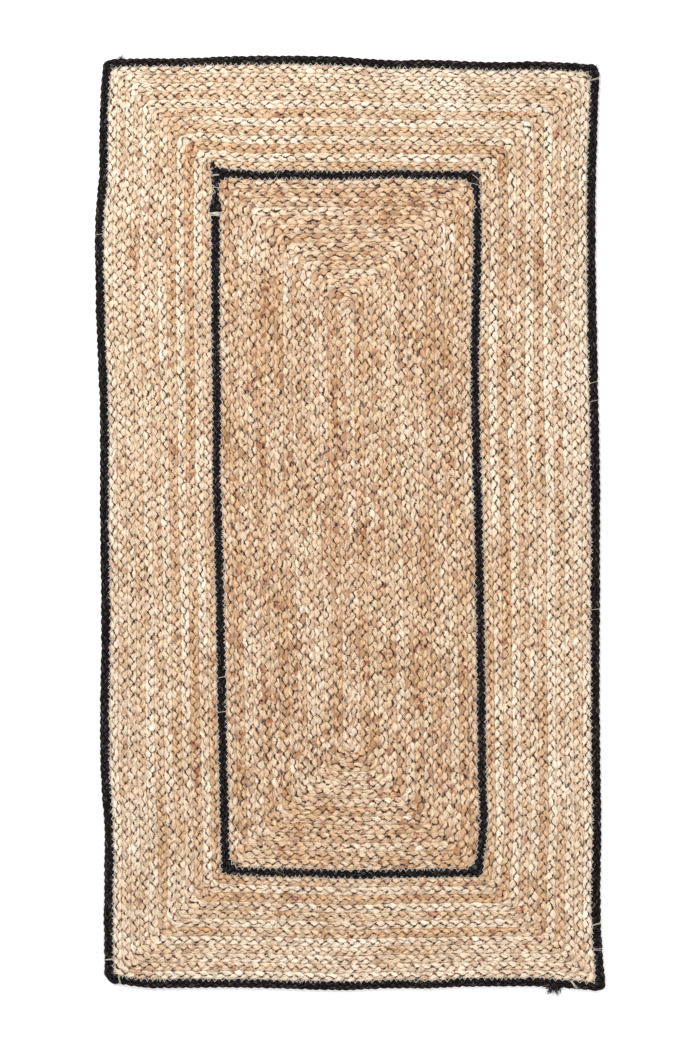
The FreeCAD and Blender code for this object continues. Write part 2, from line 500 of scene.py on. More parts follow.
# Places where the inner frame's seams are pulled aside: (seam, x, y, reach, outward shift), in millimetres.
SEAM_NIPS = (
    (FRAME_SEAM + 1, -214, 524, 11, -5.0),
    (FRAME_SEAM, -200, 524, 11, 0.8),
    (FRAME_SEAM + 1, -214, 498, 8, 4.0),
    (FRAME_SEAM, -200, 498, 8, -4.2),
    (FRAME_SEAM + 1, 214, 515, 14, -3.5),
    (FRAME_SEAM, 200, 510, 12, 3.5),
    (FRAME_SEAM + 1, 214, 540, 8, -2.0),
)


def hill(x, y, top_x, top_y, size, height):
    """A round hill: height * exp(-(distance from its top / size) ** 2)."""
    return height * np.exp(-((x - top_x) ** 2 + (y - top_y) ** 2) / size**2)


def seam_shift(number, points):
    """Outward shift of a seam at points near it: slow waves over the rug, and the listed nips.

    A wave is sin(0.83 x turn + phase) * cos(y turn - 1.3 phase), and a nip is a round hill."""
    x, y = in_millimetres(points)
    if number == 0:
        return np.zeros_like(x)
    if number == EDGE_SEAM + 1:
        return np.full_like(x, -EDGE_INSET * MM)
    size = 1.0 if number in BLACK_SPREAD else JUTE_WAVINESS
    shift = np.full_like(x, BLACK_SPREAD.get(number, 0.0))
    for wave, (length, share) in enumerate(SEAM_WAVES):
        turn = 2 * math.pi / length
        phase = number * (2.4 + 1.7 * wave)
        shift += size * share * np.sin(x * turn * 0.83 + phase) * np.cos(y * turn - phase * 1.3)
    for seam, *nip in SEAM_NIPS:
        if seam == number:
            shift += hill(x, y, *nip)
    return shift * MM


class Round:
    """The middle line of one round, sampled evenly, and the room it has outwards and inwards of it.

    Inner and outer are the round's two seams: (distance from the spine, corner radius, seam number)."""

    def __init__(self, inner, outer, plait_length, steps):
        inner_offset, inner_radius, inner_seam = inner
        outer_offset, outer_radius, outer_seam = outer
        offset = (inner_offset + outer_offset) / 2
        radius = (inner_radius + outer_radius) / 2
        self.length = round_length(offset, radius)
        self.steps = steps
        self.samples = max(int(round(self.length / plait_length)), 3) * steps
        self.place = np.arange(self.samples) * (self.length / self.samples)
        self.points, self.normals, angle, from_corner = rounded_line(self.place, offset, radius)
        middle = offset - radius
        most = (outer_offset - inner_offset) / 2 * CORNER_ROOM
        out = reach(angle, from_corner, outer_offset - outer_radius - middle, outer_radius) - radius
        into = radius - reach(angle, from_corner, inner_offset - inner_radius - middle, inner_radius)
        out = np.clip(out, 0, most)
        into = np.clip(into, 0, most)
        self.out = out + seam_shift(outer_seam, self.points + self.normals * out[:, None])
        self.into = into - seam_shift(inner_seam, self.points - self.normals * into[:, None])


def round_length(offset, radius):
    """Length of a rounded rectangle at a distance from the spine."""
    return 4 * (offset - radius) + 4 * (SPINE_END + offset - radius) + 2 * math.pi * radius


def rounded_line(place, offset, radius):
    """Points and outward normals of the rounded rectangle, anticlockwise from the foot of its right side.

    It is four quarters turned by a right angle each: a straight run, then an arc. Also returned are the
    angle turned within the arc (-1 on a straight run) and the distance to the nearer arc on a run."""
    half_x, half_y = offset, SPINE_END + offset
    run_x, run_y = 2 * (half_x - radius), 2 * (half_y - radius)
    arc = math.pi / 2 * radius
    lengths = np.array([run_y, arc, run_x, arc] * 2)
    starts = np.concatenate([[0], np.cumsum(lengths)])
    piece = np.clip(np.searchsorted(starts, place, side="right") - 1, 0, 7)
    local = place - starts[piece]
    quarter = piece // 2
    turned = 1j**quarter
    corner = np.array([
        complex(half_x - radius, half_y - radius), complex(-half_x + radius, half_y - radius),
        complex(-half_x + radius, -half_y + radius), complex(half_x - radius, -half_y + radius)])
    run_start = np.array([
        complex(half_x, -half_y + radius), complex(half_x - radius, half_y),
        complex(-half_x, half_y - radius), complex(-half_x + radius, -half_y)])
    on_arc = piece % 2 == 1
    angle = np.where(on_arc, local / max(radius, 1e-9), 0)
    normal = np.where(on_arc, np.exp(1j * angle), 1) * turned
    point = np.where(on_arc, corner[quarter] + radius * normal, run_start[quarter] + 1j * turned * local)
    from_corner = np.where(on_arc, 0, np.minimum(local, lengths[piece] - local))
    as_pairs = [np.stack([c.real, c.imag], -1) for c in (point, normal)]
    return (*as_pairs, np.where(on_arc, angle, -1), from_corner)


def reach(angle, from_corner, shift, radius):
    """Distance from a corner's centre, or from the level line beside it, to a seam with its own corner arc.

    The seam's arc has its centre moved by shift in both directions. A ray either meets the arc or, before
    it begins, the straight run of the seam."""
    face = shift + radius
    turned = np.clip(angle, 0, None)
    both = np.cos(turned) + np.sin(turned)
    arc_hit = shift * both + np.sqrt(np.clip((shift * both) ** 2 - 2 * shift**2 + radius**2, 0, None))
    steep = np.maximum(np.cos(turned), np.sin(turned))
    flat = np.minimum(np.cos(turned), np.sin(turned))
    on_arc = np.where(face * flat / steep < shift, face / steep, arc_hit)
    level = np.clip(-from_corner - shift, -radius, None)
    bent = shift + np.sqrt(np.clip(radius**2 - level**2, 0, None))
    return np.where(angle >= 0, on_arc, np.where(-from_corner > shift, bent, face))


# ---------------------------------------------------------------- meshes

FLOOR_GAP = 0.02 * MM  # least height over the floor of what is sewn down
LOOSE_GAP = 0.05 * MM  # least height over the floor of what is loose
UV_LENGTH = 10 * MM  # length of strand or thread to one unit of its UV map
TUBE_UV_STEP = 3.7  # how far apart the UV maps of neighbouring tubes lie


def tube_mesh(name, rings, along, tones=None, closed=True, lowest=FLOOR_GAP):
    """Mesh of tubes from rings of points, shaped (tube, section, side, xyz).

    Sections run along each tube and sides round it. Closed tubes join their ends; open ones get a fan cap
    at each end, which is one face. UV map "strand" holds (along / 10 mm, share of the way round)."""
    tubes, sections, sides, _ = rings.shape
    index = np.arange(tubes * sections * sides).reshape(tubes, sections, sides)
    following = np.roll(index, -1, axis=1) if closed else index[:, 1:]
    here = index if closed else index[:, :-1]
    quads = np.stack([here, following, np.roll(following, -1, 2), np.roll(here, -1, 2)], -1).reshape(-1, 4)
    spans = here.shape[1]
    step = np.concatenate([along, [along[-1] + (along[1] - along[0])]]) / UV_LENGTH
    u0 = np.broadcast_to(step[:spans][None, :, None], here.shape)
    u1 = np.broadcast_to(step[1:spans + 1][None, :, None], here.shape)
    v0 = np.arange(sides) / sides + np.arange(tubes)[:, None, None] * TUBE_UV_STEP
    v0 = np.broadcast_to(v0, here.shape)
    v1 = v0 + 1 / sides
    uv = np.stack([np.stack(corner, -1) for corner in ((u0, v0), (u1, v0), (u1, v1), (u0, v1))], -2)
    mesh = bpy.data.meshes.new(name)
    points = drift(rings.reshape(-1, 3))
    points[:, 2] = np.maximum(points[:, 2], lowest)
    mesh.vertices.add(len(points))
    mesh.vertices.foreach_set("co", points.astype(np.float32).ravel())
    corners = quads.ravel()
    starts = np.arange(len(quads)) * 4
    totals = np.full(len(quads), 4)
    flat_uv = uv.reshape(-1, 2)
    if not closed:
        caps = np.concatenate([index[:, 0], index[:, -1, ::-1]])
        cap_starts = len(corners) + np.arange(len(caps)) * sides
        corners = np.concatenate([corners, caps.ravel()])
        starts = np.concatenate([starts, cap_starts])
        totals = np.concatenate([totals, np.full(len(caps), sides)])
        flat_uv = np.concatenate([flat_uv, np.zeros((caps.size, 2))])
    mesh.loops.add(len(corners))
    mesh.loops.foreach_set("vertex_index", corners.astype(np.int32))
    mesh.polygons.add(len(starts))
    mesh.polygons.foreach_set("loop_start", starts.astype(np.int32))
    mesh.polygons.foreach_set("loop_total", totals.astype(np.int32))
    mesh.polygons.foreach_set("use_smooth", np.ones(len(starts), bool))
    layer = mesh.uv_layers.new(name="strand")
    layer.data.foreach_set("uv", flat_uv.astype(np.float32).ravel())
    if tones is not None:
        painted = mesh.attributes.new("tone", "FLOAT_COLOR", "POINT")
        values = np.concatenate([tones.reshape(-1, 3), np.ones((len(points), 1))], 1)
        painted.data.foreach_set("color", values.astype(np.float32).ravel())
    mesh.update()
    mesh.validate()
    piece = bpy.data.objects.new(name, mesh)
    bpy.context.scene.collection.objects.link(piece)
    return piece


def unit(vectors):
    """The same directions with length 1."""
    return vectors / np.maximum(np.linalg.norm(vectors, axis=-1, keepdims=True), 1e-9)


def section_rings(points, ahead, wide, high, roll, angles, back=None):
    """Elliptical sections across a path, shaped (..., section, side, xyz).

    At each point: b is level and across the path, n is square to both b and the path, and the pair is
    rolled about the path. A section point is p + b * wide * cos(a) + n * high * sin(a), with back in
    place of wide where cos(a) is negative."""
    ahead = unit(ahead)
    level = unit(np.stack([ahead[..., 1], -ahead[..., 0], np.zeros_like(ahead[..., 0])], -1))
    upward = np.cross(level, ahead)
    turn_cos, turn_sin = np.cos(roll)[..., None], np.sin(roll)[..., None]
    across = level * turn_cos + upward * turn_sin
    rising = upward * turn_cos - level * turn_sin
    back = wide if back is None else back
    turned = np.cos(angles)
    width = np.where(turned > 0, wide[..., None], back[..., None]) * turned
    rise = high[..., None] * np.sin(angles)
    sideways = across[..., None, :] * width[..., None]
    return points[..., None, :] + sideways + rising[..., None, :] * rise[..., None]


def even_angles(sides):
    """Angles of the evenly spaced corners of a section."""
    return np.arange(sides) * (2 * math.pi / sides)


def loop_ahead(points):
    """Direction along closed paths."""
    return np.roll(points, -1, axis=-2) - np.roll(points, 1, axis=-2)


def dress(piece, slot, *nodes):
    """Gives a finished piece the material of its slot and its body, and hides the CAD nodes it stands for.
    """
    piece.data.materials.append(slot_material(slot))
    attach(piece, "root")
    if nodes:
        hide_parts(*nodes)
    return piece


# How a strand lies in its braid, as shares of the room it has, and in millimetres for its heights.
LOOSE = {
    "swing": 0.50,  # how far it swings to either side
    "linger": 0.80,  # below 1 it stays longer at the sides
    "wide": 0.53,  # half its mean width
    "swell": 0.18,  # how much wider it is on top and narrower beneath
    "lean": 0.50,  # how much further it spreads against the next round than to its braid's middle
    "rise": 1.6,  # how far it climbs and dips
    "high": 2.6,  # half its thickness
    "stray": 1.0,  # how unevenly it is plaited
}
TIGHT = {
    "swing": 0.43, "linger": 0.6, "wide": 0.56, "swell": 0.08, "lean": 0.30, "rise": 1.4, "high": 2.6,
    "stray": 0.7}
UNEVEN = {**LOOSE, "stray": 1.4}  # the centre panel's older, rougher braid
ROLL = -0.35  # how far a strand tips over at the sides, in radians
SECTION = np.radians([-125, -55, 2, 40, 72, 108, 140, 178])  # corners of its section, most of them on top
MIDDLE_HEIGHT = THICKNESS / 2 - 0.10 * MM  # of a braid's middle over the floor

# How far an unevenly plaited braid strays: angles in radians, heights in millimetres.
PLAIT_STRAY = 0.55  # in the angle of the whole plait
STRAND_STRAY = 0.33  # in the angle of one strand
HEAVE = 0.22  # in a strand's height
WIDTH_STRAY = 0.08  # in a strand's width, as a share of its room
HIGH_STRAY = 0.10  # in half a strand's thickness


def braid(name, line, warmth, patchiness, lie, rng):
    """Three-strand flat braid round a closed line.

    Strand i lies at t = plait angle + i third turns. It swings across by sin(t) and rises by sin(2 t), so
    each strand lies on top from one side in to the middle and passes beneath on its way out again."""
    count = line.samples
    knots = max(count * 2 // line.steps, 8)
    uneven, swell, heave = [
        lie["stray"] * np.stack([closed_noise(rng, knots, count) for _ in range(3)]) for _ in range(3)]
    plait = np.arange(count) * (-2 * math.pi / line.steps)
    plait = plait + PLAIT_STRAY * lie["stray"] * closed_noise(rng, max(knots // 3, 4), count)
    t = plait[None, :] + np.arange(3)[:, None] * (2 * math.pi / 3) + STRAND_STRAY * uneven
    over = np.sin(2 * t)
    swing = np.sign(np.sin(t)) * np.abs(np.sin(t)) ** lie["linger"] * lie["swing"]
    across = np.where(swing > 0, swing * line.out, swing * line.into)
    height = MIDDLE_HEIGHT + (over * lie["rise"] + heave * HEAVE) * MM
    room = (line.out + line.into) / 2
    wide = room * (lie["wide"] + lie["swell"] * over + WIDTH_STRAY * swell)
    outward = wide * (1 + 2 * lie["lean"] * np.clip(swing, 0, 1))
    inward = wide * (1 + 2 * lie["lean"] * np.clip(-swing, 0, 1))
    high = (lie["high"] + HIGH_STRAY * swell) * MM
    flat = line.points[None] + line.normals[None] * across[..., None]
    points = np.concatenate([flat, height[..., None]], -1)
    rings = section_rings(points, loop_ahead(points), outward, high, ROLL * np.sin(t), SECTION, inward)
    tones = strand_tones((across, height, outward, inward, high), line, warmth, patchiness, rng)
    return tube_mesh(name, rings, line.place, tones)


CREASE_FADE = 1.1 * MM  # clearance over the other strands at which the painted crease shade ends


def creases(across, height, outward, inward, high):
    """How near each corner of a braid's sections lies to a crossing, the mask of the painted crease shade: 1
    at or under another strand's top.

    A strand's top at a sideways place x is its height + high * sqrt(1 - (x / width) ** 2), and the painted
    crease shade fades out as the clearance over the other two strands' tops grows."""
    turned = np.cos(SECTION)
    own_wide = np.where(turned > 0, outward[..., None], inward[..., None])
    x = across[..., None] + own_wide * turned
    z = height[..., None] + high[..., None] * np.sin(SECTION)
    tops = np.full_like(z, -1.0)
    for step in (1, 2):
        other_x, other_z, other_out, other_in, other_high = [
            np.roll(part, step, axis=0)[..., None] for part in (across, height, outward, inward, high)]
        away = x - other_x
        inside = 1 - (away / np.where(away > 0, other_out, other_in)) ** 2
        top = other_z + other_high * np.sqrt(np.clip(inside, 0, None))
        tops = np.where(inside > 0, np.maximum(tops, top), tops)
    return np.clip(1 - (z - tops) / CREASE_FADE, 0, 1)


# Root-brown patches in the jute: (x, y, reach, strength), the first three in millimetres.
STAINS = (
    (38, 155, 8, 1.6), (160, 5, 8, 1.4), (-182, 165, 24, 0.8),
    (-80, 385, 18, 0.9), (-95, 405, 14, 0.9), (-35, 413, 12, 0.8), (40, 418, 13, 0.8))


def stained(points):
    """How strongly the brown patches show: a sum of round hills over the hand-set places."""
    x, y = in_millimetres(points)
    return sum(hill(x, y, *stain) for stain in STAINS)


WARMTH_SPAN = 22 * MM  # length over which the warmth of a strand changes
BRAID_SPAN = 150 * MM  # length over which the warmth of all three changes
STRAND_WARMTH = 0.25  # how much the warmth of a strand varies
BRAID_WARMTH = 0.22  # how much the warmth of all three varies
BRAID_PATCHES = 0.15  # and their brown patches with it
PATCH_FADE = 0.35  # softness of a brown patch's edges
SEAM_FADE = 1.2 * MM  # width over which the painted shade along a seam begins
SEAM_INSET = 0.75  # how much of that width lies inside the round
SHADE_TOP = 0.70  # height below which flanks get painted shade, as a share of the thickness
SHADE_SPAN = 0.35  # how much lower their painted shade is quite dark
SEAM_DEPTH = 0.36  # painted shade along a seam between two needle holes
HOLE_DEPTH = 0.60  # how much more painted shade a needle hole gets
NEEDLE_STEP = 7 * MM  # from one needle hole to the next along a seam


def strand_tones(shape, line, warmth, patchiness, rng):
    """Paint for a braid: warmth along each strand, brown patches, and depth, which sets the painted shade.

    Depth, and with it the painted shade, is 1 in the creases between strands, grows on the flanks and
    beneath, and is 0 on the crowns. Along the seams it is less, with a deeper spot of painted shade at every
    needle hole."""
    across, height, outward, inward, high = shape
    strands, count = across.shape
    knots = max(int(line.length / WARMTH_SPAN), 8)
    slow = max(int(line.length / BRAID_SPAN), 4)
    warm = np.stack([closed_noise(rng, knots, count) for _ in range(strands)])
    blotch = np.stack([closed_noise(rng, knots * 2, count) for _ in range(strands)])
    drifted = closed_noise(rng, slow, count)
    warm = np.clip(warmth + STRAND_WARMTH * warm + BRAID_WARMTH * drifted, 0, 1)
    patches = (blotch - 1 + patchiness + BRAID_PATCHES * drifted) / PATCH_FADE + stained(line.points)
    patches = np.clip(patches, 0, 1)
    turned = np.cos(SECTION)
    # painted shade along the seams between rounds
    beyond = across[..., None] + np.where(turned > 0, outward[..., None], inward[..., None]) * turned
    beyond = np.maximum(beyond - line.out[:, None], -beyond - line.into[:, None])
    seam = np.clip(beyond / SEAM_FADE + SEAM_INSET, 0, 1)
    level = height[..., None] + high[..., None] * np.sin(SECTION)
    # painted shade on the low flanks and undersides
    flank_shade = np.clip((THICKNESS * SHADE_TOP - level) / (THICKNESS * SHADE_SPAN), 0, 1)
    # painted shadow at every needle hole
    holes = np.clip(np.cos(line.place * (2 * math.pi / NEEDLE_STEP)) * 2 - 0.4, 0, 1)[:, None]
    depth = np.maximum(creases(*shape), (SEAM_DEPTH + HOLE_DEPTH * holes) * seam)
    depth = np.clip(depth + flank_shade, 0, 1)
    spread = np.ones(len(SECTION))
    return np.stack([warm[..., None] * spread, patches[..., None] * spread, depth], -1)


# Zigzag stitches. In millimetres: how far the thread reaches inward and outward, its radius, and its
# heights at the inner hole, the crossing and the outer hole. The pitch is a share of the stitch pitch.
JUTE_STITCH = {
    "inward": 1.5, "outward": 1.5, "thick": 0.34, "heights": (6.3, 6.7, 6.3), "pitch": 1.0, "sides": 3}
BLACK_OUTSIDE = {
    "inward": 1.3, "outward": 3.2, "thick": 0.56, "heights": (7.5, 8.2, 8.85), "pitch": 1.08, "sides": 4}
BLACK_INSIDE = {**BLACK_OUTSIDE, "inward": 3.2, "outward": 1.3, "heights": (8.85, 8.2, 7.5)}
BOBBIN_STITCH = {
    "inward": 2.6, "outward": 2.6, "thick": 0.4, "heights": (1.1, 0.6, 1.1), "pitch": 1.5, "sides": 3}
STITCH_WAVES = ((6, 1.1), (2, 0.35))  # stitches to a slow drift of the stitches, and its size in stitches
STITCH_JITTER = 0.12  # how far a point strays along the seam, in stitches
STITCH_REACH = (0.55, 1.15)  # least and most of its reach across
CROSSWISE_REACH = 0.35  # how much further the longer teeth reach on runs across the rug
STITCH_HEAVE = (-0.35, 0.2)  # least and most change of its height, in millimetres


def zigzag(name, seams, stitch, rng):
    """Zigzag thread along closed seams: from hole to hole across each seam, over its groove.

    Four points to a stitch: a hole on the inner side, the crossing, a hole on the outer side, the
    crossing."""
    shape, _, _ = settings()
    pitch = shape.stitch_pitch * stitch["pitch"]
    inward, outward = stitch["inward"] * MM, stitch["outward"] * MM
    inner, crossing, outer = [height * MM for height in stitch["heights"]]
    threads = []
    for number, offset, radius in seams:
        length = round_length(offset, radius)
        stitches = int(length / pitch)
        count = stitches * 4
        place = np.arange(count) * (length / count)
        slow = sum(
            closed_noise(rng, max(stitches // span, 4), count) * share for span, share in STITCH_WAVES)
        wander = place + (rng.uniform(-STITCH_JITTER, STITCH_JITTER, count) + slow) * pitch
        points, normals, _, _ = rounded_line(np.mod(wander, length), offset, radius)
        side = np.tile([-inward, 0.0, outward, 0.0], stitches) * rng.uniform(*STITCH_REACH, count)
        longer = side * (outward - inward) > 0
        side = np.where(longer, side * (1 + CROSSWISE_REACH * np.abs(normals[:, 1])), side)
        flat = points + normals * (side + seam_shift(number, points))[:, None]
        height = np.tile([inner, crossing, outer, crossing], stitches)
        height = height + rng.uniform(*STITCH_HEAVE, count) * MM
        path = np.concatenate([flat, height[:, None]], -1)[None]
        size = np.full((1, count), stitch["thick"] * MM)
        rings = section_rings(path, loop_ahead(path), size, size, 0 * size, even_angles(stitch["sides"]))
        threads.append((place, rings))
    return join_tubes(name, threads)


LOOP_BOTTOM = 0.7 * MM  # heights of a hand-sewn loop's middle line under and over the braid
LOOP_TOP = 8.95 * MM
LOOP_SECTIONS = 28
LOOP_SIDES = 6


def loop_rings(centres, normals, half, slant, thick):
    """Closed loops of thread round a braid, shaped (loop, section, side, xyz).

    Each loop is a squared-off ellipse standing across the run: the sideways place is half * cos(a) ** 0.5
    and the height runs from bottom to top by sin(a) ** 0.5, signs kept. Slant carries it along the run."""
    a = even_angles(LOOP_SECTIONS)
    squared = [np.sign(w) * np.abs(w) ** 0.5 for w in (np.cos(a), np.sin(a))]
    runs = np.stack([-normals[:, 1], normals[:, 0]], -1)
    sideways = normals[:, None] * (half * squared[0])[None, :, None]
    onward = runs[:, None] * (slant[:, None] * squared[0])[..., None]
    height = (LOOP_BOTTOM + LOOP_TOP) / 2 + (LOOP_TOP - LOOP_BOTTOM) / 2 * squared[1]
    height = np.broadcast_to(height, (len(centres), LOOP_SECTIONS))
    path = np.concatenate([centres[:, None] + sideways + onward, height[..., None]], -1)
    ahead = unit(loop_ahead(path))
    beside = np.concatenate([runs, np.zeros((len(runs), 1))], -1)[:, None]
    beside = unit(beside - ahead * (beside * ahead).sum(-1, keepdims=True))
    over = np.cross(beside, ahead)
    turn = even_angles(LOOP_SIDES)
    spread = beside[..., None, :] * np.cos(turn)[:, None] + over[..., None, :] * np.sin(turn)[:, None]
    return path[..., None, :] + spread * thick[:, None, None, None]


def hair_rings(starts, headings, lengths, lift, bends, thick, sections=6, sides=3):
    """Loose fibres, shaped (fibre, section, side, xyz).

    From its start a fibre runs along its heading, which turns steadily by its bend, while its height
    follows most of half a sine, up to its lift and part of the way back; it thins towards its tip."""
    share = np.linspace(0, 1, sections)
    turned = headings[:, None] + bends[:, None] * share
    step = (lengths / (sections - 1))[:, None]
    x = starts[:, :1] + np.concatenate([0 * step, np.cumsum(np.cos(turned[:, :-1]) * step, 1)], 1)
    y = starts[:, 1:2] + np.concatenate([0 * step, np.cumsum(np.sin(turned[:, :-1]) * step, 1)], 1)
    z = starts[:, 2:] + lift[:, None] * np.sin(share * math.pi * 0.8)
    path = np.stack([x, y, z], -1)
    ahead = np.gradient(path, axis=1)
    size = thick[:, None] * (1 - 0.6 * share)
    return section_rings(path, ahead, size, size, 0 * size, even_angles(sides))


def join_tubes(name, tubes):
    """One piece from closed tubes of different lengths."""
    pieces = [tube_mesh(f"{name}_part", rings, place) for place, rings in tubes]
    joined = pieces[0]
    if len(pieces) > 1:
        with bpy.context.temp_override(
                active_object=joined, object=joined,
                selected_editable_objects=pieces, selected_objects=pieces):
            bpy.ops.object.join()
    joined.name = name
    joined.data.name = name
    return joined


# ---------------------------------------------------------------- operators


def settings():
    """The three groups of settings: shape, colours and stage."""
    scene = bpy.context.scene
    return scene.rug_shape, scene.rug_colours, scene.rug_stage


def seam_turn(number, shape):
    """Corner radius of a seam."""
    if number == FRAME_SEAM + 1:
        return shape.frame_turn
    if number == EDGE_SEAM:
        return shape.border_turn
    if number == EDGE_SEAM + 1:
        return shape.edge_turn
    return min(seam_offset(number), shape.jute_turn)


def sew_round(node, seam, slot, lobe_share, warmth, patchiness, lie):
    """One round of braid between a seam and the next, standing for its CAD node."""
    shape, _, _ = settings()
    inner, outer = [(seam_offset(n), seam_turn(n, shape), n) for n in (seam, seam + 1)]
    line = Round(inner, outer, 3 * shape.lobe_pitch * lobe_share, shape.ring_steps)
    rng = np.random.default_rng(shape.seed * 1000 + seam)
    piece = braid(f"{node}_strands", line, warmth, patchiness, lie, rng)
    return dress(piece, slot, node)


# Warmth, from 0 pale to 1 golden, and length of a lobe as a share of the lobe pitch. In the centre each is a
# mean and how far the rounds vary from it, and the border's rounds go from the inner frame outwards.
CENTRE_WARMTH = (0.62, 0.12)
CENTRE_LOBES = (1.0, 0.08)
BORDER_WARMTH = (0.67, 0.20, 0.82, 0.20, 0.65, 0.18, 0.72, 0.14, 0.52, 0.32, 0.39, 0.06)
BORDER_LOBES = (0.90, 1.10, 0.92, 1.12, 0.90, 1.08, 0.94, 1.04, 0.92, 1.02, 0.92, 1.08)
FRAME_LOBES = 0.72
EDGE_LOBES = 0.75

# For the black braids, warmth is how thin the dye is.
FRAME_FADING = 0.4
EDGE_FADING = 0.3

# How much of the braid is brown.
CENTRE_PATCHES = 0.52
BORDER_PATCHES = 0.30
NO_PATCHES = 0.0

# Where the draws of the centre's rounds start, and what the threads and the loose ends add to the seed.
CENTRE_SEED = 3
THREAD_SEED = 90
END_SEED = 40


class RUG_OT_centre_panel(bpy.types.Operator):
    """Braid the jute rounds of the centre panel"""

    bl_idname = "rug.centre_panel"
    bl_label = "Centre panel"

    def execute(self, context):
        rng = np.random.default_rng(CENTRE_SEED)
        for seam, node in enumerate(CENTRE_NODES):
            warmth, lobes = [
                mean + spread * rng.uniform(-1, 1) for mean, spread in (CENTRE_WARMTH, CENTRE_LOBES)]
            sew_round(node, seam, "natural_jute", lobes, warmth, CENTRE_PATCHES, UNEVEN)
        return {"FINISHED"}


class RUG_OT_inner_frame(bpy.types.Operator):
    """Braid the black inner frame"""

    bl_idname = "rug.inner_frame"
    bl_label = "Inner frame"

    def execute(self, context):
        sew_round(
            "inner_frame_braid", FRAME_SEAM, "black_jute", FRAME_LOBES, FRAME_FADING, NO_PATCHES, TIGHT)
        return {"FINISHED"}


class RUG_OT_border(bpy.types.Operator):
    """Braid the jute rounds of the border"""

    bl_idname = "rug.border"
    bl_label = "Border"

    def execute(self, context):
        rounds = zip(BORDER_NODES, BORDER_LOBES, BORDER_WARMTH)
        for seam, (node, lobes, warmth) in enumerate(rounds, FRAME_SEAM + 1):
            sew_round(node, seam, "natural_jute", lobes, warmth, BORDER_PATCHES, LOOSE)
        return {"FINISHED"}


class RUG_OT_outer_edge(bpy.types.Operator):
    """Braid the black outer edge"""

    bl_idname = "rug.outer_edge"
    bl_label = "Outer edge"

    def execute(self, context):
        sew_round("edge_braid", EDGE_SEAM, "black_jute", EDGE_LOBES, EDGE_FADING, NO_PATCHES, TIGHT)
        return {"FINISHED"}


class RUG_OT_seam_threads(bpy.types.Operator):
    """Sew the zigzag threads on the face and their bobbin threads beneath"""

    bl_idname = "rug.seam_threads"
    bl_label = "Seam threads"

    def execute(self, context):
        shape, _, _ = settings()
        groups = {
            "centre_seam": (range(1, FRAME_SEAM), "seam_thread", JUTE_STITCH),
            "frame_inner_seam": ([FRAME_SEAM], "cream_thread", BLACK_OUTSIDE),
            "frame_outer_seam": ([FRAME_SEAM + 1], "cream_thread", BLACK_INSIDE),
            "border_seam": (range(FRAME_SEAM + 2, EDGE_SEAM), "seam_thread", JUTE_STITCH),
            "edge_seam": ([EDGE_SEAM], "cream_thread", BLACK_OUTSIDE),
        }
        rng = np.random.default_rng(shape.seed + THREAD_SEED)
        for name, (numbers, slot, stitch) in groups.items():
            seams = [(n, seam_offset(n), seam_turn(n, shape)) for n in numbers]
            top = zigzag(f"{name}_face_zigzag", seams, stitch, rng)
            dress(top, slot, f"{name}_needle_thread")
            below = zigzag(f"{name}_underside_zigzag", seams, BOBBIN_STITCH, rng)
            dress(below, slot, f"{name}_bobbin_thread")
        return {"FINISHED"}


# Hand-sewn loops, in millimetres, on the middle line of a run. On the long runs of the inner frame and of
# the outer edge: (side, y, turns, slant, thread radius). On the bottom run: (x, turns, slant, radius).
FRAME_WHIPPINGS = (
    (-1, 550, 2, 1.6, 0.42), (-1, 530, 1, 1.4, 0.38), (-1, 488, 5, 0.7, 0.55), (-1, -249, 1, 1.5, 0.35),
    (-1, -304, 1, 1.0, 0.35), (1, 552, 1, -5.6, 0.36), (1, 541, 1, -3.0, 0.34))
EDGE_TACKS = (
    (1, 724, 2, 2.5, 0.38), (-1, 455, 1, 1.5, 0.30), (-1, -710, 2, 1.5, 0.38), (1, 226, 1, 2.5, 0.32),
    (1, 196, 1, 1.0, 0.32), (1, -136, 1, 1.5, 0.30), (1, -640, 2, 2.0, 0.34), (1, -681, 2, 1.0, 0.30))
BOTTOM_TACKS = ((-376, 2, 2.0, 0.38), (352, 3, 4.0, 0.42))
TURN_STEP = 1.3  # from one turn of a loop to the next
TURN_SWAY = 0.3  # how far a turn strays from that
SLANT_SWAY = 0.7  # how far its slant strays
LOOP_CLEARANCE = 0.25 * MM  # how far a loop's middle line stays inside the round's width
LOOP_UV_STEP = 1.6 * MM  # length of thread from one section of a loop to the next


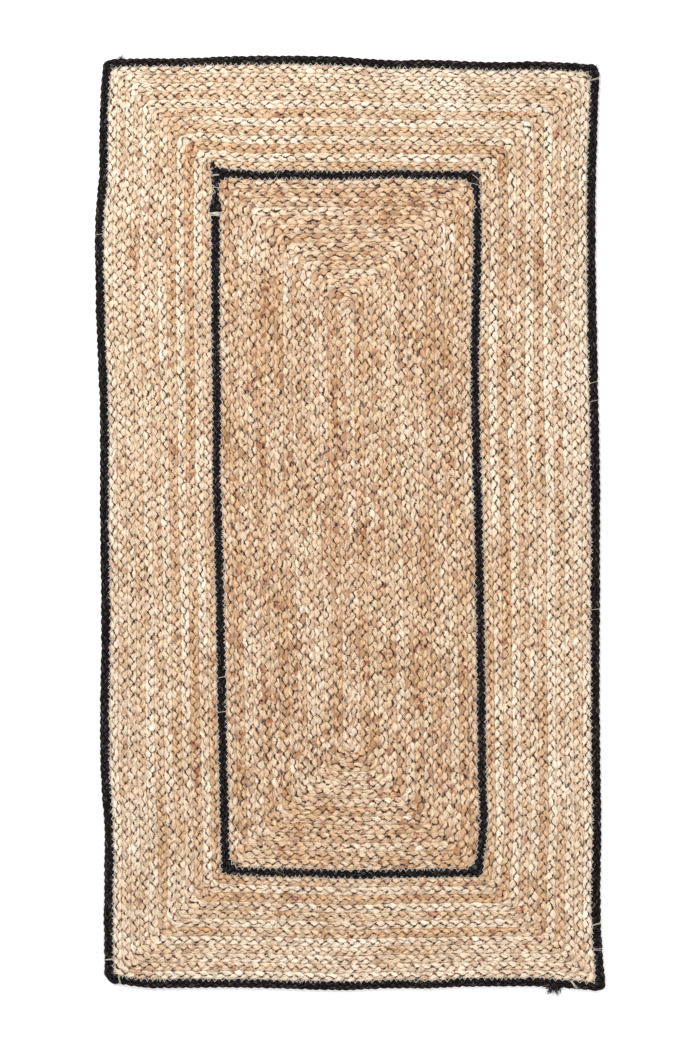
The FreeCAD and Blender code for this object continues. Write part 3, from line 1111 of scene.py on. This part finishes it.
class RUG_OT_hand_sewing(bpy.types.Operator):
    """Wrap the hand-sewn loops round the black braids"""

    bl_idname = "rug.hand_sewing"
    bl_label = "Hand sewing"

    def execute(self, context):
        frame_loops = [(side * FRAME_MIDDLE, y * MM, side, 0, *rest) for side, y, *rest in FRAME_WHIPPINGS]
        edge_loops = [(side * EDGE_MIDDLE, y * MM, side, 0, *rest) for side, y, *rest in EDGE_TACKS]
        edge_loops += [(x * MM, -SPINE_END - EDGE_MIDDLE, 0, -1, *rest) for x, *rest in BOTTOM_TACKS]
        dress(self.loops("frame_whipping_loops", frame_loops), "cream_thread", "frame_whipping_threads")
        dress(self.loops("edge_tacking_loops", edge_loops), "cream_thread", "edge_tacking_threads")
        return {"FINISHED"}

    def loops(self, name, places):
        """All the turns of every place as one piece, side by side along the run.

        A place is (x, y, x and y of the run's outward direction, turns, slant, thread radius)."""
        rows = np.array(places, float)
        turns = rows[:, 4].astype(int)
        each = np.repeat(rows, turns, axis=0)
        order = np.concatenate([np.arange(n) - (n - 1) / 2 for n in turns])
        runs = np.stack([-each[:, 3], each[:, 2]], -1)
        sway = np.sin(np.arange(len(each)) * 2.4)
        centres = each[:, :2] + runs * ((order * TURN_STEP + TURN_SWAY * sway) * MM)[:, None]
        half = (RUG_OFFSET - BORDER_OFFSET) / 2 - LOOP_CLEARANCE
        slants = (each[:, 5] + SLANT_SWAY * sway) * MM
        rings = loop_rings(centres, each[:, 2:4], half, slants, each[:, 6] * MM)
        return tube_mesh(name, rings, np.arange(LOOP_SECTIONS) * LOOP_UV_STEP)


# Frayed ends of braid: (fibres, place, heading, spread, length, thickness), in millimetres and radians.
TUFTS = (
    (54, (333, -743, 4.2), 3.70, 0.40, 22, 1.05),  # the tail at the bottom edge, and its two prongs
    (30, (320, -749, 3.4), 4.2, 0.30, 14, 0.8),
    (24, (321, -748, 3.4), 5.6, 0.35, 14, 0.8),
    (40, (-211, 563, 8.4), 1.60, 0.22, 9, 1.1),  # the tip of the inner frame
    (26, (-374, 748, 6.0), 0.5, 0.5, 12, 0.55),  # the upper corners of the outer edge
    (14, (392, 744, 5.0), 1.3, 0.8, 7, 0.35),
)
TUFT_DISC = (2.2, 1.6, 1.2)  # spread of the places where a tuft's fibres start
KNOT_PLACE = (362, -741, 4.6)
KNOT_SIZE = (2.1, 1.6, 1.5)
KNOT_SECTIONS = 54
KNOT_THICK = 2.5 * MM
KNOT_UV_STEP = 1.4 * MM

# Stray fibres, in millimetres and radians; each pair is the least and the most.
BLACK_FUZZ = {
    "count": 420, "spread": 0.45, "heights": (7.6, 8.6), "lengths": (5, 14), "lifts": (0.1, 0.7),
    "bend": 0.8, "thick": (0.10, 0.2)}
JUTE_FUZZ = {
    "count": 900, "spread": 0.55, "heights": (8.2, 8.8), "lengths": (6, 20), "lifts": (0.1, 0.6),
    "bend": 0.9, "thick": (0.10, 0.19)}
OUTER_SHARE = 0.72  # share of the black fibres that are on the outer edge
SIDE_SHARE = 0.66  # share of them on the long sides
BLACK_INSET = 5 * MM  # how far inside the outline the outer edge's fibres lie
BLACK_STRAY = 3.0 * MM  # how widely they lie about that line
JUTE_INSET = 8 * MM  # how far inside the border the jute fibres end
HAIR_UV_STEP = 2 * MM
HAIR_TOP = THICKNESS + 0.8 * MM  # highest a loose fibre stands


class RUG_OT_loose_ends(bpy.types.Operator):
    """Leave the braids' loose ends, their knot and the stray fibres"""

    bl_idname = "rug.loose_ends"
    bl_label = "Loose ends and fibres"

    def execute(self, context):
        shape, _, _ = settings()
        rng = np.random.default_rng(shape.seed + END_SEED)
        dress(self.knot(), "black_jute")
        dress(hairs("braid_end_tufts", [tuft(rng, *row) for row in TUFTS]), "black_jute")
        dress(hairs("stray_black_fibres", [self.black_fuzz(rng)]), "black_jute")
        dress(hairs("stray_jute_fibres", [self.jute_fuzz(rng)]), "natural_jute")
        return {"FINISHED"}

    def knot(self):
        """Trefoil knot, drawn small and flat: sin t + 2 sin 2t, cos t - 2 cos 2t, -0.9 sin 3t."""
        t = even_angles(KNOT_SECTIONS)
        x = np.sin(t) + 2 * np.sin(2 * t)
        y = np.cos(t) - 2 * np.cos(2 * t)
        z = -0.9 * np.sin(3 * t)
        path = (np.stack([x, y, z], -1) * np.array(KNOT_SIZE) + np.array(KNOT_PLACE))[None] * MM
        size = np.full((1, KNOT_SECTIONS), KNOT_THICK)
        rings = section_rings(path, loop_ahead(path), size, size, 0 * size, even_angles(8))
        along = np.arange(KNOT_SECTIONS) * KNOT_UV_STEP
        return tube_mesh("braid_end_knot", rings, along, lowest=LOOSE_GAP)

    def black_fuzz(self, rng):
        """Fibres lying along the two black braids and standing off their sides."""
        count = BLACK_FUZZ["count"]
        outer = rng.random(count) < OUTER_SHARE
        offset = np.where(outer, RUG_OFFSET - BLACK_INSET, FRAME_MIDDLE)
        offset = offset + rng.normal(0, BLACK_STRAY, count)
        half_x, half_y = offset, SPINE_END + offset
        where = rng.random(count)
        on_side = rng.random(count) < SIDE_SHARE
        sign = np.where(rng.random(count) < 0.5, -1.0, 1.0)
        span = where * 1.9 - 0.95  # nearly from corner to corner
        x = np.where(on_side, sign * half_x, span * half_x)
        y = np.where(on_side, span * half_y, sign * half_y)
        return strewn(rng, x, y, on_side, BLACK_FUZZ)

    def jute_fuzz(self, rng):
        """Fibres lying over the jute rounds."""
        count = JUTE_FUZZ["count"]
        x = rng.uniform(-1, 1, count) * (BORDER_OFFSET - JUTE_INSET)
        y = rng.uniform(-1, 1, count) * (BORDER_OFFSET + SPINE_END - JUTE_INSET)
        return strewn(rng, x, y, np.abs(x) > np.abs(y) - SPINE_END, JUTE_FUZZ)


def strewn(rng, x, y, lengthwise, fuzz):
    """Loose fibres at given places, most of them close to the way the braid runs there."""
    count = len(x)
    heading = np.where(lengthwise, math.pi / 2, 0) + rng.normal(0, fuzz["spread"], count)
    z = rng.uniform(*fuzz["heights"], count) * MM
    return (
        np.stack([x, y, z], -1), heading, rng.uniform(*fuzz["lengths"], count) * MM,
        rng.uniform(*fuzz["lifts"], count) * MM, rng.normal(0, fuzz["bend"], count),
        rng.uniform(*fuzz["thick"], count) * MM)


def tuft(rng, count, place, heading, spread, reach, thick):
    """A bundle of fibres from one place: starts round it, headings fanned, some rising and some sinking."""
    starts = np.array(place) + rng.normal(0, 1, (count, 3)) * np.array(TUFT_DISC)
    return (
        starts * MM, heading + rng.normal(0, spread, count), reach * rng.uniform(0.5, 1.1, count) * MM,
        rng.uniform(-1.2, 0.5, count) * MM, rng.normal(0, 0.6, count),
        thick * rng.uniform(0.5, 1.0, count) * MM)


def hairs(name, bundles):
    """One piece from bundles of fibres, each fibre with a warmth of its own."""
    columns = [np.concatenate([bundle[i] for bundle in bundles]) for i in range(6)]
    rings = hair_rings(*columns)
    rings[..., 2] = np.minimum(rings[..., 2], HAIR_TOP)
    tones = np.zeros((*rings.shape[:3], 3))
    own_rng = np.random.default_rng(len(name))  # so that a tone changes no other draw
    tones[..., 0] = own_rng.uniform(0, 1, (len(rings), 1, 1))
    along = np.arange(rings.shape[1]) * HAIR_UV_STEP
    return tube_mesh(name, rings, along, tones, closed=False, lowest=LOOSE_GAP)


VIEW_MIDDLE = (-0.3 * MM, -2.8 * MM)  # the point that the camera looks down on
KEY_PLACE = (-1.6, 1.9, 2.6)
KEY_SIZE = 1.1
FILL_PLACE = (1.9, -1.5, 2.8)
FILL_SIZE = 2.2
FAR_CLIP = 50.0


class RUG_OT_stage(bpy.types.Operator):
    """Lay the floor and set the lights and the camera"""

    bl_idname = "rug.stage"
    bl_label = "Stage"

    def execute(self, context):
        _, _, stage = settings()
        scene = bpy.context.scene
        half = stage.floor_size / 2
        corners = [(-half, -half, 0), (half, -half, 0), (half, half, 0), (-half, half, 0)]
        mesh = bpy.data.meshes.new("studio_floor")
        mesh.from_pydata(corners, [], [(0, 1, 2, 3)])
        floor = bpy.data.objects.new("studio_floor", mesh)
        scene.collection.objects.link(floor)
        mesh.materials.append(floor_material(stage.floor_glow))

        world = bpy.data.worlds.new("studio")
        world.use_nodes = True
        background = world.node_tree.nodes["Background"]
        background.inputs["Color"].default_value = (1.0, 1.0, 1.0, 1.0)
        background.inputs["Strength"].default_value = stage.room_light
        scene.world = world

        self.lamp("key_light", KEY_PLACE, KEY_SIZE, stage.key_power)
        self.lamp("fill_light", FILL_PLACE, FILL_SIZE, stage.fill_power)

        camera = bpy.data.objects.new("camera", bpy.data.cameras.new("camera"))
        camera.location = (*VIEW_MIDDLE, stage.camera_height)
        camera.data.lens = camera.data.sensor_width * stage.camera_height / stage.view_length
        camera.data.clip_end = FAR_CLIP
        scene.collection.objects.link(camera)
        scene.camera = camera
        scene.view_settings.view_transform = "Standard"
        return {"FINISHED"}

    def lamp(self, name, place, size, watts):
        """A square soft light that points at the rug's middle."""
        light = bpy.data.lights.new(name, "AREA")
        light.size = size
        light.energy = watts
        lamp = bpy.data.objects.new(name, light)
        lamp.location = place
        flat = math.hypot(place[0], place[1])
        turn = math.atan2(place[1], place[0]) + math.pi / 2
        lamp.rotation_euler = (math.atan2(flat, place[2]), 0, turn)
        bpy.context.scene.collection.objects.link(lamp)


class RUG_PT_panel(bpy.types.Panel):
    """Shows the rug's operators and settings in the sidebar"""

    bl_idname = "RUG_PT_panel"
    bl_label = "Braided rug"
    bl_space_type = "VIEW_3D"
    bl_region_type = "UI"
    bl_category = "Rug"

    def draw(self, context):
        for operator in OPERATORS:
            self.layout.operator(operator.bl_idname)
        for group in (context.scene.rug_shape, context.scene.rug_colours, context.scene.rug_stage):
            for name in group.__annotations__:
                self.layout.prop(group, name)


GROUPS = (RugShape, RugColours, RugStage)
OPERATORS = (
    RUG_OT_centre_panel,
    RUG_OT_inner_frame,
    RUG_OT_border,
    RUG_OT_outer_edge,
    RUG_OT_seam_threads,
    RUG_OT_hand_sewing,
    RUG_OT_loose_ends,
    RUG_OT_stage,
)


def register():
    """Adds the classes, and the settings to the scene."""
    for item in (*GROUPS, *OPERATORS, RUG_PT_panel):
        bpy.utils.register_class(item)
    bpy.types.Scene.rug_shape = PointerProperty(type=RugShape)
    bpy.types.Scene.rug_colours = PointerProperty(type=RugColours)
    bpy.types.Scene.rug_stage = PointerProperty(type=RugStage)


def unregister():
    """Takes the settings and the classes away again."""
    for name in ("rug_shape", "rug_colours", "rug_stage"):
        delattr(bpy.types.Scene, name)
    for item in (RUG_PT_panel, *reversed(OPERATORS), *reversed(GROUPS)):
        bpy.utils.unregister_class(item)


def main():
    """Makes the stage and the rug."""
    register()
    bpy.ops.rug.stage()
    bpy.ops.rug.centre_panel()
    bpy.ops.rug.inner_frame()
    bpy.ops.rug.border()
    bpy.ops.rug.outer_edge()
    bpy.ops.rug.seam_threads()
    bpy.ops.rug.hand_sewing()
    bpy.ops.rug.loose_ends()


if __name__ == "__main__":
    main()
